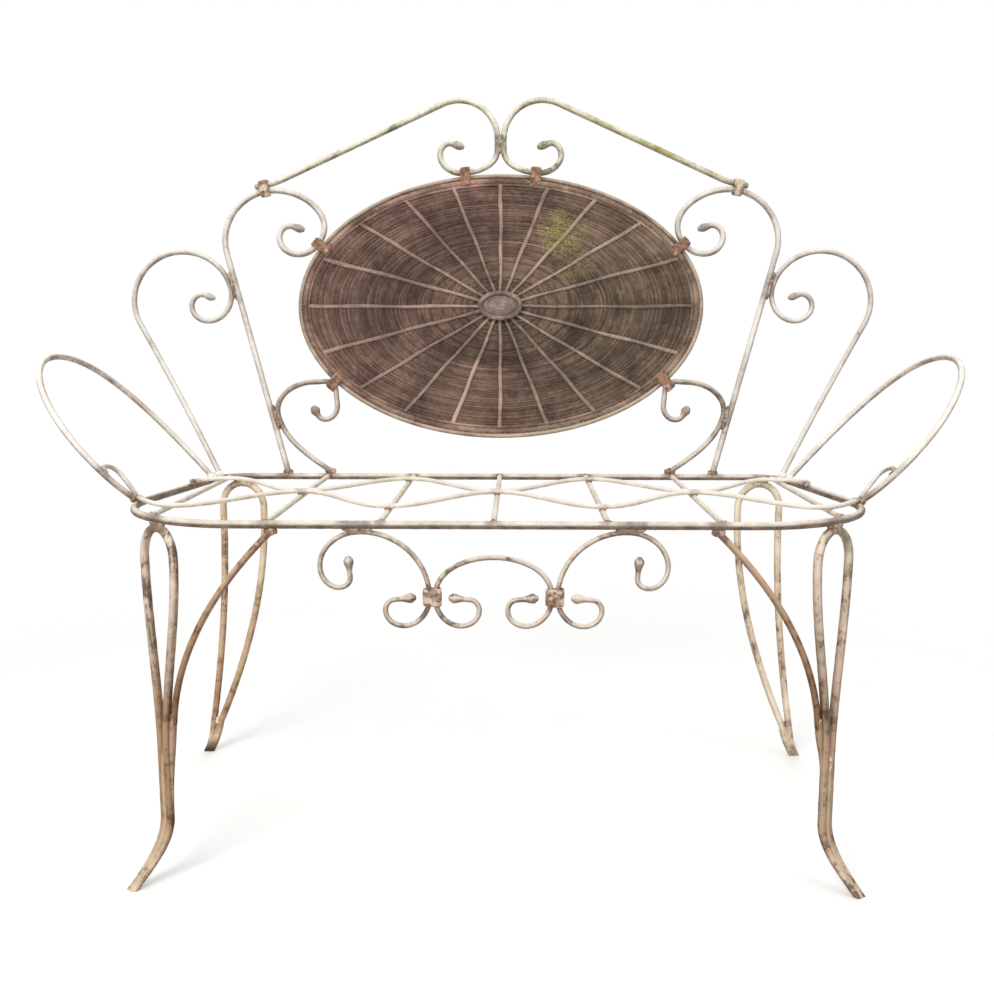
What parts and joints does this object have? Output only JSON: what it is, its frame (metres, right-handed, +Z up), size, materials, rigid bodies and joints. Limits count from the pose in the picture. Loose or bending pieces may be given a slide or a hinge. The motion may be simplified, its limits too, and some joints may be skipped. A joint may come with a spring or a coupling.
{
  "type": "wrought iron bench",
  "caption": "Wrought iron garden bench of bent and scrolled round bar, with an oval woven panel in the back, looped arms, an open bar seat, a scrolled apron and hairpin legs.",
  "frame": {"origin": "on the ground, under the middle of the bench's overall box", "axes": "+X along the bench to the sitter's left (the viewer's right), +Y from the front to the back, +Z up"},
  "size_m": [1.196, 0.5084, 1.0139],
  "materials": {
    "cream_paint": "weathered cream paint, worn through to brown iron",
    "tan_paint": "weathered tan paint, rust stained",
    "rusted_band": "rusted iron",
    "cane": "weathered cane, dull",
    "weave": "weathered dark wickerwork, dull"
  },
  "bodies": {
    "root": {"apron_arch": "cream_paint", "apron_collar_left": "rusted_band", "apron_collar_right": "rusted_band", "apron_scroll_left": "cream_paint", "apron_scroll_right": "cream_paint", "arm_hook_left": "cream_paint", "arm_hook_right": "cream_paint", "arm_left": "cream_paint", "arm_right": "cream_paint", "back_post_left": "cream_paint", "back_post_right": "cream_paint", "crest_collar_left": "rusted_band", "crest_collar_right": "rusted_band", "crest_scroll_left": "cream_paint", "crest_scroll_right": "cream_paint", "front_brace_left": "tan_paint", "front_brace_right": "tan_paint", "front_leg_left": "tan_paint", "front_leg_right": "tan_paint", "lower_scroll_left": "cream_paint", "lower_scroll_right": "cream_paint", "oval_collar_low_left": "rusted_band", "oval_collar_low_right": "rusted_band", "oval_collar_side_left": "rusted_band", "oval_collar_side_right": "rusted_band", "oval_collar_top_left": "rusted_band", "oval_collar_top_right": "rusted_band", "oval_ring": "cream_paint", "panel_hub": "cane", "panel_rim": "cane", "panel_spokes": "cane", "rear_leg_left": "tan_paint", "rear_leg_right": "tan_paint", "seat_crossbar_1": "cream_paint", "seat_crossbar_2": "cream_paint", "seat_crossbar_3": "cream_paint", "seat_crossbar_4": "cream_paint", "seat_crossbar_5": "cream_paint", "seat_end_bar_left": "cream_paint", "seat_end_bar_right": "cream_paint", "seat_ring": "cream_paint", "seat_wave_front": "cream_paint", "seat_wave_rear": "cream_paint", "side_scroll_left": "cream_paint", "side_scroll_right": "cream_paint", "woven_panel": "weave"}
  },
  "joints": []
}
